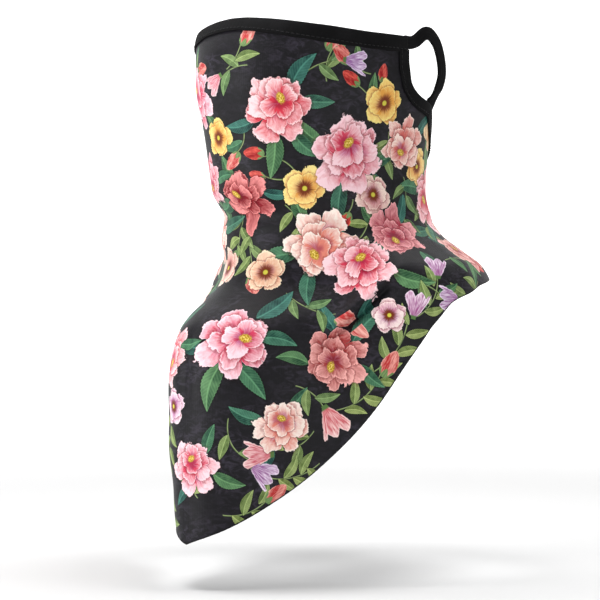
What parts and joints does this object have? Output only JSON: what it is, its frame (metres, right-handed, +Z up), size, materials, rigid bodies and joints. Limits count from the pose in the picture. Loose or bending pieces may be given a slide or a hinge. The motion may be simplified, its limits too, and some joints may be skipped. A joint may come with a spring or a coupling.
{
  "type": "cloth face mask",
  "caption": "Neck gaiter face mask of printed stretch cloth, pointed at the chest, with bound edges and ear loops, in its worn shape.",
  "frame": {"origin": "middle of the line between the two places where the loops hang over the wearer's ears", "axes": "+Z up with the wearer's head upright, -Y the way the wearer faces, +X the wearer's left"},
  "size_m": [0.2046, 0.2118, 0.3192],
  "materials": {
    "mask_cloth": "printed matt stretch knit",
    "nose_binding": "matt black tape",
    "nape_binding": "matt black tape",
    "ear_loop_left": "matt black strap",
    "ear_loop_right": "matt black strap"
  },
  "bodies": {
    "root": {"mask_cloth": "mask_cloth", "nose_binding": "nose_binding", "nape_binding": "nape_binding", "ear_loop_left": "ear_loop_left", "ear_loop_right": "ear_loop_right"}
  },
  "joints": []
}
